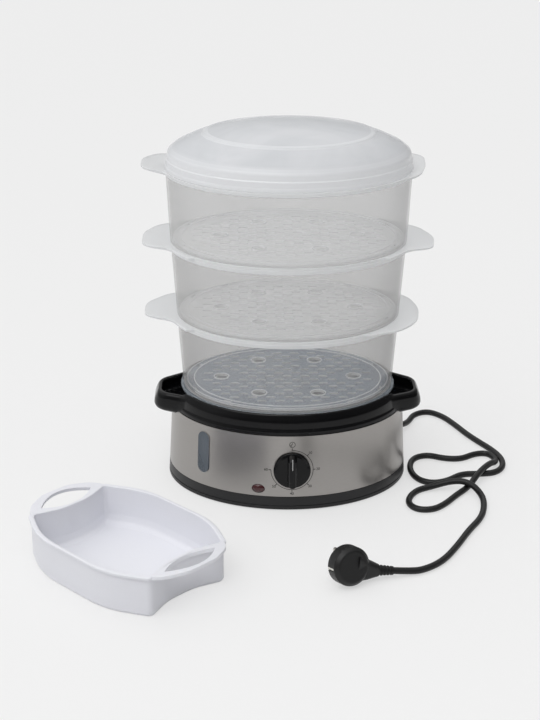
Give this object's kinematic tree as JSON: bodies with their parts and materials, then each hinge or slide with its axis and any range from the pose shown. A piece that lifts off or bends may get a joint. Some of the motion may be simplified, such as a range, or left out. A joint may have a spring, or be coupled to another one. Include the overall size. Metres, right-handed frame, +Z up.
{
  "type": "electric food steamer",
  "caption": "Tiered electric food steamer: oval base with timer, level gauge and tank, stacked steam baskets with lift-in grids, domed lid, rice bowl and mains lead.",
  "frame": {"origin": "centre of the base's oval, on the table under its feet", "axes": "+Z up, -Y towards the front with the timer knob, +X to the user's right"},
  "size_m": [0.4861, 0.45, 0.3754],
  "materials": {
    "charcoal_plastic": "fine grain",
    "foot_rubber": "matte",
    "screw_steel": "zinc plated",
    "band_steel": "satin, brushed round the band",
    "black_gloss": "polished",
    "heater_aluminium": "cast",
    "seal_silicone": "soft",
    "cutout_steel": "pressed",
    "grey_plastic": "moulded",
    "tray_plastic": "translucent",
    "clear_window": "smoked blue",
    "red_lens": "translucent",
    "lamp_glass": "clear",
    "timer_plastic": "moulded",
    "lead_rubber": "satin",
    "pin_brass": "nickel plated",
    "frosted_plastic": "frosted translucent",
    "clear_plastic": "clear, lightly frosted",
    "grid_plastic": "translucent",
    "white_plastic": "satin"
  },
  "bodies": {
    "base": {"base_shell": "charcoal_plastic", "bottom_cover": "charcoal_plastic", "rubber_feet": "foot_rubber", "cover_screws": "screw_steel", "steel_band": "band_steel", "upper_housing": "black_gloss", "heating_element": "heater_aluminium", "heater_gasket": "seal_silicone", "heater_clamp": "screw_steel", "thermal_cutout": "cutout_steel", "timer_unit": "timer_plastic", "timer_bell": "screw_steel", "timer_screws": "screw_steel", "gauge_window": "clear_window", "gauge_gasket": "seal_silicone", "indicator_lens": "red_lens", "indicator_lamp": "lamp_glass", "strain_relief": "lead_rubber", "cord_clamp": "timer_plastic", "terminal_block": "timer_plastic", "power_cord": "lead_rubber", "plug_body": "lead_rubber", "plug_pins": "pin_brass", "plug_earth_contacts": "pin_brass"},
    "knob": {"timer_knob": "black_gloss", "timer_shaft": "screw_steel"},
    "steam_ring": {"steam_ring": "grey_plastic"},
    "drip_tray": {"drip_tray": "tray_plastic"},
    "lid": {"lid": "frosted_plastic"},
    "rice_bowl": {"rice_bowl": "white_plastic"},
    "basket_bottom": {"basket_bottom": "clear_plastic"},
    "grid_bottom": {"grid_bottom": "grid_plastic"},
    "basket_middle": {"basket_middle": "clear_plastic"},
    "grid_middle": {"grid_middle": "grid_plastic"},
    "basket_top": {"basket_top": "clear_plastic"},
    "grid_top": {"grid_top": "grid_plastic"}
  },
  "joints": [
    {"name": "knob_turn", "type": "hinge", "parent": "base", "child": "knob", "pos_m": [0.0024, -0.10014, 0.0444], "axis": [-0.0159, 0.9989, -0.045], "range_deg": [0, 270]},
    {"name": "steam_ring_lift", "type": "slide", "parent": "base", "child": "steam_ring", "axis": [0, 0, 1], "range_m": [0, 0.008]},
    {"name": "tray_lift", "type": "slide", "parent": "base", "child": "drip_tray", "axis": [0, 0, 1], "range_m": [0, 0.04]},
    {"name": "basket_bottom_lift", "type": "slide", "parent": "drip_tray", "child": "basket_bottom", "axis": [0, 0, 1], "range_m": [0, 0.1]},
    {"name": "basket_middle_lift", "type": "slide", "parent": "basket_bottom", "child": "basket_middle", "axis": [0, 0, 1], "range_m": [0, 0.1]},
    {"name": "basket_top_lift", "type": "slide", "parent": "basket_middle", "child": "basket_top", "axis": [0, 0, 1], "range_m": [0, 0.1]},
    {"name": "lid_lift", "type": "slide", "parent": "basket_top", "child": "lid", "axis": [0, 0, 1], "range_m": [0, 0.12]},
    {"name": "bowl_lift", "type": "slide", "parent": "base", "child": "rice_bowl", "axis": [0, 0, 1], "range_m": [0, 0.06]},
    {"name": "grid_bottom_lift", "type": "slide", "parent": "basket_bottom", "child": "grid_bottom", "axis": [0, 0, 1], "range_m": [0, 0.05]},
    {"name": "grid_middle_lift", "type": "slide", "parent": "basket_middle", "child": "grid_middle", "axis": [0, 0, 1], "range_m": [0, 0.05]},
    {"name": "grid_top_lift", "type": "slide", "parent": "basket_top", "child": "grid_top", "axis": [0, 0, 1], "range_m": [0, 0.05]}
  ]
}
